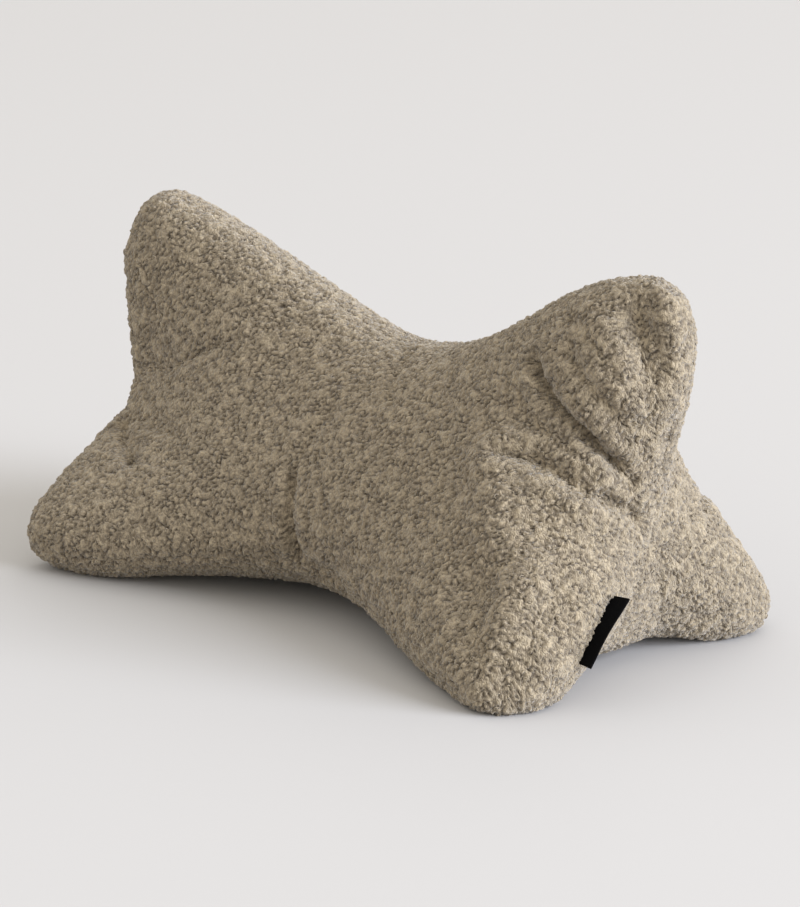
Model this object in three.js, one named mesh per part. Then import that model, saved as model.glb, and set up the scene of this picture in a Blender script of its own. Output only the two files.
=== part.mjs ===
// A neck pillow of three bone-shaped panels, sewn edge to edge and filled: six lobes stand round a waist.
// It stands on its four lower lobes, and the neck lies in the saddle between the two upper ones.
// Millimetres, +Z up. The origin is the middle of the part's box, on the surface that it stands on.
// +X runs along the pillow, to the end that holds the side label, and -Y is its front.
import * as THREE from "three";
import { mergeVertices } from "three/addons/utils/BufferGeometryUtils.js";

// The middle line runs from one end's centre to the other, where the three seams meet.
const MIDDLE_HEIGHT = 79;
const END_REACH = 204;
// How far the waist's seams and panel middles lie from the middle line.
const WAIST = { seam: 89, panel: 75 };
// How both ends lie against the waist: forward, up, and the right end above the left one.
const ENDS = { forward: 3, up: 3, rightUp: 1, at: 200 };
// How tightly a panel wraps each seam, at the lobes' tips and at the waist: 1 is an even wave round the pillow.
const WRAP = { tip: 2.7, waist: 0.9 };

// The seams' angles round the middle line, from the back (+Y) towards the top (+Z).
const SEAM_ANGLE = { top: 90, front: 210, back: 330 };
const PANELS = [
  { name: "front", from: "top", to: "front" },
  { name: "bottom", from: "front", to: "back" },
  { name: "back", from: "back", to: "top" },
];
const PANEL_TURN = 120;

// Each lobe, seen in its seam's plane. reach and out place the centre of its round tip along the pillow and out
// from the middle line, and round is the tip's radius. Its arc starts from the end at endTurn and runs into the
// flank at flankTurn, in degrees. tipPull and waistPull say how long the flank leaves the tip and the waist in
// their own direction, as shares of its length. lean turns the lobe round the middle line, in degrees, and twist
// turns its end side further. bow swells the edge between the tip and the end's centre.
const LOBES = [
  { seam: "top", end: "left", reach: 200, out: 132, round: 22, endTurn: 7, flankTurn: 99,
    tipPull: 0.3, waistPull: 0.14, lean: 3, twist: 0, bow: 3 },
  { seam: "front", end: "left", reach: 199, out: 124, round: 20, endTurn: 7, flankTurn: 92,
    tipPull: 0.32, waistPull: 0.29, lean: -2, twist: 0, bow: -5 },
  { seam: "back", end: "left", reach: 194, out: 126, round: 23, endTurn: 7, flankTurn: 98,
    tipPull: 0.34, waistPull: 0.29, lean: 3, twist: 0, bow: 0 },
  { seam: "top", end: "right", reach: 196, out: 132, round: 27, endTurn: 7, flankTurn: 94,
    tipPull: 0.36, waistPull: 0.48, lean: 0, twist: 0, bow: 1 },
  { seam: "front", end: "right", reach: 182, out: 132, round: 21, endTurn: 34, flankTurn: 106,
    tipPull: 0.44, waistPull: 0.2, lean: 0, twist: 12, bow: 5 },
  { seam: "back", end: "right", reach: 190, out: 121, round: 23, endTurn: 7, flankTurn: 100,
    tipPull: 0.34, waistPull: 0.29, lean: -2, twist: 0, bow: 2 },
];
// The same for the middle of each panel, where it draws in between two lobes.
const HOLLOWS = [
  { panel: "front", end: "left", reach: 188, out: 30 },
  { panel: "bottom", end: "left", reach: 176, out: 44 },
  { panel: "back", end: "left", reach: 178, out: 50 },
  { panel: "front", end: "right", reach: 176, out: 48 },
  { panel: "bottom", end: "right", reach: 171, out: 52 },
  { panel: "back", end: "right", reach: 169, out: 46 },
];
const HOLLOW_SHAPE = { round: 25, endTurn: 11, flankTurn: 82, tipPull: 0.33, waistPull: 0.37 };
// How long each edge leaves its end's centre square to the middle line, and runs into its tip's arc.
const END_PULL = { centre: 0.35, tip: 0.33 };
// Where a lobe's lean starts, out from the middle line, on its end side and on its flank, and where it is full.
const LEAN = { endFrom: 45, flankFrom: 89, full: 140 };

// The main folds, each from one place on the cloth to another: x along the pillow, angle round the middle line
// and out from it. width is where a fold's sides have risen to about a third of its depth. A negative depth is a
// place where the filling swells the cloth instead.
const FOLDS = [
  { name: "waist, front", x: [-22, -14], angle: [172, 206], out: [77, 85], depth: 7, width: 9 },
  { name: "waist, back", x: [6, 10], angle: [14, 52], out: [80, 84], depth: 5, width: 11 },
  { name: "saddle, near", x: [18, 30], angle: [101, 126], out: [88, 84], depth: 4, width: 9 },
  { name: "upper right root", x: [148, 186], angle: [110, 119], out: [107, 78], depth: 9, width: 9 },
  { name: "upper right root, lower end", x: [188, 206], angle: [119, 119], out: [74, 46], depth: 5, width: 9 },
  { name: "front right root", x: [140, 198], angle: [138, 141], out: [74, 48], depth: 6, width: 10 },
  { name: "upper right end", x: [207, 217], angle: [98, 98], out: [142, 114], depth: 8, width: 13 },
  { name: "upper left end", x: [-158, -176], angle: [108, 116], out: [126, 100], depth: 4, width: 14 },
  { name: "left notch", x: [-192, -154], angle: [170, 183], out: [62, 88], depth: 6, width: 10 },
  { name: "underside, front", x: [-118, -34], angle: [222, 228], out: [112, 88], depth: 6, width: 26 },
  { name: "upper left root, back", x: [-196, -150], angle: [60, 66], out: [66, 108], depth: 6, width: 11 },
  { name: "upper right root, back", x: [150, 198], angle: [66, 58], out: [104, 60], depth: 6, width: 11 },
  { name: "front right lobe, full", x: [165, 182], angle: [158, 184], out: [74, 92], depth: -7, width: 22 },
  { name: "front right tip, drawn in", x: [206, 212], angle: [232, 226], out: [92, 114], depth: 6, width: 14 },
  { name: "left end, full", x: [-206, -205], angle: [118, 122], out: [66, 58], depth: -2.5, width: 22 },
  { name: "right end, back, full", x: [182, 192], angle: [3, 3], out: [77, 68], depth: -5, width: 18 },
  { name: "back right lobe, flat", x: [192, 204], angle: [348, 339], out: [104, 122], depth: 4.5, width: 16 },
  { name: "front left lobe, flat", x: [-210, -216], angle: [191, 191], out: [98, 84], depth: 3, width: 18 },
];

// The side label: a folded strip whose edge is caught in the front seam of the right end. from and to are its
// ends' distances out from the middle line, and stands is how far it stands out of the seam. fan is how much
// longer its folded edge is, fold is the radius of that edge, and gap keeps the strip clear of the pillow.
const LABEL = {
  seam: "front", end: "right", from: 48, to: 95,
  stands: 10.5, fan: 1.5, thickness: 1.2, fold: 0.35, gap: 0.5,
};

// The cloth is cut into this many steps round each panel, and along each part of an edge.
const STEPS = { panel: 20, end: 8, tip: 7, flank: 14 };
// How far the steps round a panel crowd towards its seams: 0 is even.
const CROWD = 0.6;

const FINISHES = {
  cloth: { color: "#968a76", roughness: 0.95, metalness: 0 },
  ribbon: { color: "#141313", roughness: 0.6, metalness: 0 },
};

// A smooth step from 0 to 1 as value passes from low to high.
const ease = (value, low, high) => THREE.MathUtils.smoothstep(value, low, high);

// A seam's or a panel middle's course in its own plane, from the end's centre to the waist: x along the pillow
// and y out from the middle line.
function course(shape, waist) {
  const start = THREE.MathUtils.degToRad(shape.endTurn);
  const stop = THREE.MathUtils.degToRad(shape.flankTurn);
  const tip = new THREE.EllipseCurve(shape.reach, shape.out, shape.round, shape.round, start, stop);
  const centre = new THREE.Vector2(END_REACH, 0);
  const arcStart = tip.getPoint(0);
  const arcStop = tip.getPoint(1);
  const startHeading = new THREE.Vector2(-Math.sin(start), Math.cos(start));
  const stopHeading = new THREE.Vector2(-Math.sin(stop), Math.cos(stop));
  const middle = new THREE.Vector2(0, waist);
  const edge = arcStart.distanceTo(centre);
  const flank = arcStop.distanceTo(middle);
  const endCurve = new THREE.CubicBezierCurve(
    centre,
    new THREE.Vector2(END_REACH, edge * END_PULL.centre),
    arcStart.clone().addScaledVector(startHeading, -edge * END_PULL.tip),
    arcStart,
  );
  const flankCurve = new THREE.CubicBezierCurve(
    arcStop,
    arcStop.clone().addScaledVector(stopHeading, flank * shape.tipPull),
    new THREE.Vector2(flank * shape.waistPull, waist),
    middle,
  );
  const points = endCurve.getPoints(STEPS.end).slice(0, -1);
  points.forEach((point, i) => (point.x += shape.bow * Math.sin((Math.PI * i) / STEPS.end)));
  points.push(...tip.getPoints(STEPS.tip).slice(0, -1));
  points.push(...flankCurve.getPoints(STEPS.flank));
  return points;
}

const lobeCourse = ({ seam, end }) => {
  const lobe = LOBES.find((row) => row.seam === seam && row.end === end);
  return course(lobe, WAIST.seam);
};

const hollowCourse = ({ panel, end }) => {
  const hollow = HOLLOWS.find((row) => row.panel === panel && row.end === end);
  return course({ ...hollow, ...HOLLOW_SHAPE, bow: 0 }, WAIST.panel);
};

// How far a seam is turned round the middle line, in degrees, at a place on its course: side is 1 on the edge
// between end and tip and -1 on the flank, and out is the distance from the middle line.
function seamTurn(seam, end, side, out) {
  const { lean, twist } = LOBES.find((row) => row.seam === seam && row.end === end);
  const from = THREE.MathUtils.lerp(LEAN.flankFrom, LEAN.endFrom, (side + 1) / 2);
  return (lean + twist * Math.max(side, 0)) * ease(out, from, LEAN.full);
}

const sideOf = (end) => (end === "right" ? 1 : -1);

// The place of a point given along the pillow, out from the middle line and round it. That line is at z = 0.
function aroundMiddle(x, out, degrees) {
  const angle = THREE.MathUtils.degToRad(degrees);
  return new THREE.Vector3(x, out * Math.cos(angle), out * Math.sin(angle));
}

// Lays a point of the straight pillow on the surface: both ends come a little forward and up.
function settle(point) {
  const share = point.x / ENDS.at;
  point.y -= ENDS.forward * share * share;
  point.z += MIDDLE_HEIGHT + ENDS.up * share * share + ENDS.rightUp * share;
  return point;
}

// Every row of one half of the pillow, from its end's centre to the waist, as rings round the middle line.
function halfRings(end) {
  const seams = Object.fromEntries(Object.keys(SEAM_ANGLE).map((seam) => [seam, lobeCourse({ seam, end })]));
  const middles = Object.fromEntries(PANELS.map(({ name }) => [name, hollowCourse({ panel: name, end })]));
  const tipRow = STEPS.end + STEPS.tip / 2;
  const lastRow = STEPS.end + STEPS.tip + STEPS.flank;
  const rings = [];
  for (let row = 0; row <= lastRow; row++) {
    const wrap = THREE.MathUtils.lerp(WRAP.tip, WRAP.waist, ease(row, tipRow, lastRow));
    const side = 1 - 2 * ease(row, STEPS.end - 1, STEPS.end + STEPS.tip + 1);
    const ring = [];
    for (const { name, from, to } of PANELS)
      for (let step = 0; step < STEPS.panel; step++) {
        const even = step / STEPS.panel;
        const share = even - (CROWD * Math.sin(2 * Math.PI * even)) / (2 * Math.PI);
        const seam = share <= 0.5 ? from : to;
        const away = Math.min(share, 1 - share) * 2;
        const weight = Math.pow(Math.cos((Math.PI * away) / 2) ** 2, wrap);
        const place = middles[name][row].clone().lerp(seams[seam][row], weight);
        const turnFrom = seamTurn(from, end, side, place.y) * (1 - share) ** 2;
        const turnTo = seamTurn(to, end, side, place.y) * share ** 2;
        const turn = SEAM_ANGLE[from] + PANEL_TURN * share + turnFrom + turnTo;
        ring.push(aroundMiddle(sideOf(end) * place.x, place.y, turn));
      }
    rings.push(ring);
  }
  return rings;
}

// How deep the folds lie at a point of the straight pillow.
function foldDepth(point) {
  let depth = 0;
  const nearest = new THREE.Vector3();
  for (const fold of FOLDS) {
    const [start, stop] = [0, 1].map((i) => aroundMiddle(fold.x[i], fold.out[i], fold.angle[i]));
    const line = new THREE.Line3(start, stop);
    const along = line.closestPointToPointParameter(point, true);
    line.at(along, nearest);
    const off = nearest.distanceTo(point) / fold.width;
    depth += fold.depth * Math.exp(-off * off);
  }
  return depth;
}

// The filled pillow: a ball's net of faces with its poles at the ends' centres, each point moved to its place.
function pillowGeometry() {
  const right = halfRings("right");
  const left = halfRings("left").reverse().slice(1);
  const rings = [...right, ...left];
  const around = STEPS.panel * PANELS.length;
  const ball = new THREE.SphereGeometry(1, around, rings.length - 1);
  const place = ball.getAttribute("position");
  for (let i = 0; i < place.count; i++) {
    const ring = rings[Math.floor(i / (around + 1))];
    const point = ring[(i % (around + 1)) % around];
    place.setXYZ(i, point.x, point.y, point.z);
  }
  ball.deleteAttribute("normal");
  ball.deleteAttribute("uv");
  const cloth = mergeVertices(ball);
  cloth.computeVertexNormals();
  const skin = cloth.getAttribute("position");
  const normals = cloth.getAttribute("normal");
  const point = new THREE.Vector3();
  const inward = new THREE.Vector3();
  for (let i = 0; i < skin.count; i++) {
    point.fromBufferAttribute(skin, i);
    inward.fromBufferAttribute(normals, i).negate();
    point.addScaledVector(inward, foldDepth(point));
    settle(point);
    skin.setXYZ(i, point.x, point.y, Math.max(point.z, 0));
  }
  cloth.deleteAttribute("normal");
  return cloth;
}

// The stretch of a course that lies between two distances out from the middle line.
function stretch(points, from, to) {
  const at = (out) => {
    const next = points.findIndex((point) => point.y >= out);
    const [a, b] = [points[next - 1], points[next]];
    return a.clone().lerp(b, (out - a.y) / (b.y - a.y));
  };
  return [at(from), ...points.filter(({ y }) => y > from && y < to), at(to)];
}

// The label's flat form in the seam's plane, given its thickness with a rounded fold and turned into place.
function labelGeometry() {
  const rising = lobeCourse(LABEL).slice(0, STEPS.end);
  const inner = stretch(rising, LABEL.from, LABEL.to);
  const near = inner.map((point) => new THREE.Vector2(point.x + LABEL.gap + LABEL.fold, point.y));
  const far = near.map((point, i) => {
    const spread = LABEL.fan * (i / (near.length - 1) - 0.5);
    return new THREE.Vector2(point.x + LABEL.stands, point.y + spread);
  });
  const strip = new THREE.ExtrudeGeometry(new THREE.Shape([...near, ...far.reverse()]), {
    depth: LABEL.thickness - 2 * LABEL.fold,
    steps: 1,
    bevelEnabled: true,
    bevelThickness: LABEL.fold,
    bevelSize: LABEL.fold,
    bevelSegments: 1,
  });
  strip.translate(0, 0, LABEL.fold - LABEL.thickness / 2);
  strip.deleteAttribute("normal");
  strip.deleteAttribute("uv");
  const sheet = mergeVertices(strip);
  const place = sheet.getAttribute("position");
  for (let i = 0; i < place.count; i++) {
    const out = place.getY(i);
    const turn = SEAM_ANGLE[LABEL.seam] + seamTurn(LABEL.seam, LABEL.end, 1, out);
    const across = aroundMiddle(0, place.getZ(i), turn + 90);
    const point = settle(aroundMiddle(place.getX(i), out, turn).add(across));
    place.setXYZ(i, point.x, point.y, point.z);
  }
  return sheet;
}

// A node of the part.
function named(name, geometry, finish) {
  const mesh = new THREE.Mesh(geometry, new THREE.MeshStandardMaterial(finish));
  mesh.name = name;
  return mesh;
}

const group = new THREE.Group();
group.add(named("pillow", pillowGeometry(), FINISHES.cloth));
group.add(named("side_label", labelGeometry(), FINISHES.ribbon));
const box = new THREE.Box3().setFromObject(group);
const middle = box.getCenter(new THREE.Vector3());
group.position.set(-middle.x, -middle.y, -box.min.z);

export default group;
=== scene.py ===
"""Dresses the neck pillow: a filled cover of curly boucle fleece with a plain side label, in a studio."""

import logging
import math
from collections.abc import Callable, Sequence
from dataclasses import dataclass, field
from enum import Enum

import bpy
import numpy as np
from mathutils import Matrix, Vector, noise
from mathutils.bvhtree import BVHTree
from mathutils.kdtree import KDTree


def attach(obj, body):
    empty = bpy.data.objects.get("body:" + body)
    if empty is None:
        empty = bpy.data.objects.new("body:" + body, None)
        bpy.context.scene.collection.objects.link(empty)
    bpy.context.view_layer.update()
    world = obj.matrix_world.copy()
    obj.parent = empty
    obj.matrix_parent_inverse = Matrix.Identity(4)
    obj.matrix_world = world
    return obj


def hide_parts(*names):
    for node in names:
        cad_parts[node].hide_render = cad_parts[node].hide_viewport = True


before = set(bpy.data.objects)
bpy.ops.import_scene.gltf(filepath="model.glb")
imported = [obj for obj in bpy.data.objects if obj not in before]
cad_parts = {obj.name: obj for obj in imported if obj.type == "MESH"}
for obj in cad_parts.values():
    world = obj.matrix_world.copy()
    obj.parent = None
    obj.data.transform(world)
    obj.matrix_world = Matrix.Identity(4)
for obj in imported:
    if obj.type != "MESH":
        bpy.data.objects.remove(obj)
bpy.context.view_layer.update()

MM = 0.001
LOG = logging.getLogger("neck_pillow")
Row = tuple[float, float, float]

# A place is near a seam when it is turned from it by less than this, in degrees.
NEAR_SEAM = 60


# Colours, nodes and meshes


def linear(code: str) -> tuple[float, float, float, float]:
    """Turns an sRGB hex colour into the linear colour that a shader takes.

    Args:
        code: The colour as "#rrggbb".

    Returns:
        Red, green, blue and alpha, linear.
    """
    parts = [int(code[i : i + 2], 16) / 255 for i in (1, 3, 5)]
    red, green, blue = (c / 12.92 if c <= 0.04045 else ((c + 0.055) / 1.055) ** 2.4 for c in parts)
    return (red, green, blue, 1.0)


def add_node(
    owner: bpy.types.Material | bpy.types.World,
    kind: str,
    settings: dict[str, object] | None = None,
    inputs: dict[str | int, object] | None = None,
) -> bpy.types.Node:
    """Adds one node to a material or to the world.

    Args:
        owner: The material or world whose tree gets the node.
        kind: The node's type, such as "ShaderNodeTexNoise".
        settings: Attributes of the node to set.
        inputs: Values for its inputs, or the output sockets that feed them.

    Returns:
        The node.
    """
    tree = owner.node_tree
    node = tree.nodes.new(kind)
    for name, value in (settings or {}).items():
        setattr(node, name, value)
    for name, value in (inputs or {}).items():
        if isinstance(value, bpy.types.NodeSocket):
            tree.links.new(value, node.inputs[name])
        else:
            node.inputs[name].default_value = value
    return node


def new_material(name: str) -> bpy.types.Material:
    """Makes a material with an empty node tree.

    Args:
        name: Its name.

    Returns:
        The material.
    """
    material = bpy.data.materials.new(name)
    material.use_nodes = True
    material.node_tree.nodes.clear()
    return material


def finish_material(material: bpy.types.Material, surface: bpy.types.NodeSocket) -> bpy.types.Material:
    """Feeds a shader into the material's output and returns the material."""
    add_node(material, "ShaderNodeOutputMaterial", inputs={"Surface": surface})
    return material


def mesh_object(name: str, points: np.ndarray, faces: np.ndarray) -> bpy.types.Object:
    """Makes a smooth-shaded mesh object of points in metres.

    Args:
        name: The piece's name.
        points: One row of x, y and z for each vertex.
        faces: One row of vertex numbers for each face, all of one length.

    Returns:
        The object, linked to the scene.
    """
    mesh = bpy.data.meshes.new(name)
    mesh.vertices.add(len(points))
    mesh.vertices.foreach_set("co", np.ascontiguousarray(points, np.float32).ravel())
    sides = faces.shape[1]
    mesh.loops.add(faces.size)
    mesh.loops.foreach_set("vertex_index", np.ascontiguousarray(faces, np.int32).ravel())
    mesh.polygons.add(len(faces))
    mesh.polygons.foreach_set("loop_start", np.arange(0, faces.size, sides, dtype=np.int32))
    mesh.polygons.foreach_set("use_smooth", np.ones(len(faces), bool))
    mesh.update(calc_edges=True)
    mesh.validate()
    piece = bpy.data.objects.new(name, mesh)
    bpy.context.scene.collection.objects.link(piece)
    return piece


def points_of(mesh: bpy.types.Mesh) -> np.ndarray:
    """Reads a mesh's vertices.

    Args:
        mesh: The mesh.

    Returns:
        One row of x, y and z for each vertex.
    """
    found = np.empty(len(mesh.vertices) * 3, np.float32)
    mesh.vertices.foreach_get("co", found)
    return found.reshape(-1, 3).astype(float)


def normals_of(mesh: bpy.types.Mesh) -> np.ndarray:
    """Reads a mesh's vertex normals.

    Args:
        mesh: The mesh.

    Returns:
        One row for each vertex.
    """
    found = np.empty(len(mesh.vertices) * 3, np.float32)
    mesh.vertex_normals.foreach_get("vector", found)
    return found.reshape(-1, 3).astype(float)


def move_points(mesh: bpy.types.Mesh, points: np.ndarray) -> None:
    """Puts a mesh's vertices at new places."""
    mesh.vertices.foreach_set("co", np.ascontiguousarray(points, np.float32).ravel())
    mesh.update()


def triangles_of(mesh: bpy.types.Mesh) -> np.ndarray:
    """Reads a mesh's faces as triangles.

    Args:
        mesh: The mesh.

    Returns:
        One row of three vertex numbers for each triangle.
    """
    mesh.calc_loop_triangles()
    found = np.empty(len(mesh.loop_triangles) * 3, np.int32)
    mesh.loop_triangles.foreach_get("vertices", found)
    return found.reshape(-1, 3)


def smooth_step(value: np.ndarray, low: float | np.ndarray, high: float | np.ndarray) -> np.ndarray:
    """A smooth step from 0 to 1 as value passes from low to high."""
    share = np.clip((value - low) / (high - low), 0, 1)
    return share * share * (3 - 2 * share)


def unit(rows: np.ndarray) -> np.ndarray:
    """Each row scaled to a length of 1."""
    return rows / np.maximum(np.linalg.norm(rows, axis=-1, keepdims=True), 1e-12)


def apply_modifiers(piece: bpy.types.Object) -> None:
    """Works a piece's modifiers into its mesh.

    Args:
        piece: The piece.
    """
    ready = piece.evaluated_get(bpy.context.evaluated_depsgraph_get())
    mesh = bpy.data.meshes.new_from_object(ready)
    piece.modifiers.clear()
    piece.data = mesh


# Finishes


@dataclass(frozen=True)
class BoucleFleece:
    """Polyester boucle: looped yarn knitted in curls, matt and warm.

    Each clump's yarn lies at random between yarn and light_yarn. Painted shade darkens the pile towards a
    dark shade colour in the crevices between the clumps, in the gaps between the yarn's strands and towards
    the start of each loose curl. The gaps between the yarn's strands lie strand_mm apart, and upright draws
    them out a little along Z.
    """

    yarn: str = "#a2947c"
    light_yarn: str = "#ab9c83"
    # Painted shade: the dark colour that the crevices, the strands' gaps and the curls' starts are mixed
    # towards
    painted_shade_colour: str = "#463c32"
    strand_mm: float = 2.3
    strand_height_mm: float = 0.5
    # Painted shade: how dark the gaps between the strands are painted, and the strands
    gap_painted_shade: tuple[float, float] = (0.25, 1.0)
    gap_range: tuple[float, float] = (1.0, 1.55)
    upright: Row = (1.25, 1.25, 0.85)

    def pile(self) -> bpy.types.Material:
        """Makes the pile's material.

        Returns:
            The material, darkened with painted shade by depth in the pile and in the fine winding gaps
            between the yarn's strands, which also get a bump.
        """
        made = new_material("boucle_fleece_pile")
        place = add_node(made, "ShaderNodeTexCoord")
        scaled = {"Vector": place.outputs["Object"], "Scale": self.upright}
        drawn = add_node(made, "ShaderNodeMapping", inputs=scaled)
        gaps = add_node(
            made,
            "ShaderNodeTexNoise",
            {"noise_type": "RIDGED_MULTIFRACTAL"},
            {
                "Vector": drawn.outputs["Vector"],
                "Scale": 1 / (self.strand_mm * MM),
                "Detail": 1.0,
                "Roughness": 0.5,
                "Offset": 1.0,
                "Gain": 1.0,
                "Distortion": 0.7,
            },
        )
        bump = add_node(
            made,
            "ShaderNodeBump",
            {"invert": True},
            {"Strength": 1.0, "Distance": self.strand_height_mm * MM, "Height": gaps.outputs["Fac"]},
        )
        # Painted shade: the gaps between the strands are darkened
        painted_gaps = add_node(
            made,
            "ShaderNodeMapRange",
            inputs={
                "Value": gaps.outputs["Fac"],
                "From Min": self.gap_range[0],
                "From Max": self.gap_range[1],
                "To Min": self.gap_painted_shade[1],
                "To Max": self.gap_painted_shade[0],
            },
        )
        # Painted shade: the pile is darkened by its depth, most in the crevices between the clumps
        depth = add_node(made, "ShaderNodeAttribute", {"attribute_name": "pile"})
        shown = add_node(
            made,
            "ShaderNodeMath",
            {"operation": "MULTIPLY"},
            {0: depth.outputs["Fac"], 1: painted_gaps.outputs["Result"]},
        )
        return self.cloth(made, shown.outputs["Value"], bump)

    def loops(self) -> bpy.types.Material:
        """Makes the loose curls' material.

        Returns:
            The material, the same yarn, with painted shade by its depth in the pile, without the relief.
        """
        made = new_material("boucle_fleece_loops")
        depth = add_node(made, "ShaderNodeAttribute", {"attribute_name": "pile"})
        return self.cloth(made, depth.outputs["Fac"], None)

    def cloth(
        self, made: bpy.types.Material, depth: bpy.types.NodeSocket, bump: bpy.types.Node | None
    ) -> bpy.types.Material:
        """Adds the yarn's colours and its soft shader.

        Args:
            made: The material to finish.
            depth: The depth in the pile, 0 to 1, which paints shade: 0 gives the dark shade colour.
            bump: The relief's node, or None for a smooth yarn.

        Returns:
            The material.
        """
        shade = add_node(made, "ShaderNodeAttribute", {"attribute_name": "shade"})
        yarn = add_node(
            made,
            "ShaderNodeMix",
            {"data_type": "RGBA"},
            {0: shade.outputs["Fac"], 6: linear(self.yarn), 7: linear(self.light_yarn)},
        )
        # Painted shade: a low depth mixes the dark shade colour into the yarn
        colour = add_node(
            made,
            "ShaderNodeMix",
            {"data_type": "RGBA"},
            {0: depth, 6: linear(self.painted_shade_colour), 7: yarn.outputs[2]},
        )
        sockets: dict[str | int, object] = {
            "Base Color": colour.outputs[2],
            "Roughness": 0.95,
            "Specular IOR Level": 0.15,
            "Sheen Weight": 0.4,
            "Sheen Roughness": 0.45,
            "Sheen Tint": linear("#f2f0ee"),
        }
        if bump is not None:
            sockets["Normal"] = bump.outputs["Normal"]
        shader = add_node(made, "ShaderNodeBsdfPrincipled", inputs=sockets)
        return finish_material(made, shader.outputs["BSDF"])


@dataclass(frozen=True)
class SatinRibbon:
    """Black polyester satin, woven in fine ribs: an even near-black that hardly shines.

    Real ribs lie about 0.2 mm apart, too fine to show, so rib_mm draws them coarser.
    """

    thread: str = "#040405"
    rib_mm: float = 0.45
    rib_height_mm: float = 0.06

    def material(self) -> bpy.types.Material:
        """Makes the ribbon's material.

        Returns:
            The material.
        """
        made = new_material("woven_satin_ribbon")
        place = add_node(made, "ShaderNodeTexCoord")
        ribs = add_node(
            made,
            "ShaderNodeTexWave",
            {"bands_direction": "X"},
            {"Vector": place.outputs["Object"], "Scale": math.pi / (10 * self.rib_mm * MM)},
        )
        bump = add_node(
            made,
            "ShaderNodeBump",
            inputs={"Distance": self.rib_height_mm * MM, "Height": ribs.outputs["Fac"]},
        )
        shader = add_node(
            made,
            "ShaderNodeBsdfPrincipled",
            inputs={
                "Base Color": linear(self.thread),
                "Roughness": 0.75,
                "Specular IOR Level": 0.06,
                "Normal": bump.outputs["Normal"],
            },
        )
        return finish_material(made, shader.outputs["BSDF"])


@dataclass(frozen=True)
class StudioPaint:
    """Matt white studio paint, rolled. It gives an even pale grey that takes soft shadows."""

    paint: str = "#bebcba"

    def material(self) -> bpy.types.Material:
        """Makes the floor's material.

        Returns:
            The material.
        """
        made = new_material("matt_studio_paint")
        shader = add_node(
            made,
            "ShaderNodeBsdfPrincipled",
            inputs={"Base Color": linear(self.paint), "Roughness": 0.9, "Specular IOR Level": 0.1},
        )
        return finish_material(made, shader.outputs["BSDF"])


# The pillow's own directions


class Seam(Enum):
    """The seams, by their angle round the middle line, in degrees from the back, +Y, towards the top."""

    TOP = 90
    FRONT = 210
    BACK = 330


class Panel(Enum):
    """The cover's panels, each between two seams."""

    FRONT = (Seam.TOP, Seam.FRONT)
    BOTTOM = (Seam.FRONT, Seam.BACK)
    BACK = (Seam.BACK, Seam.TOP)


@dataclass(frozen=True)
class LobeTurn:
    """How a lobe's seam is turned round the middle line, in degrees, and where its round tip lies, in mm.

    lean turns the whole lobe, and twist its end side further. reach and out are the middle of its tip, along
    the pillow and out from the middle line. end_turn and flank_turn bound the tip, as angles round that
    middle.
    """

    lean: float
    twist: float
    reach: float
    out: float
    end_turn: float
    flank_turn: float


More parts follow.
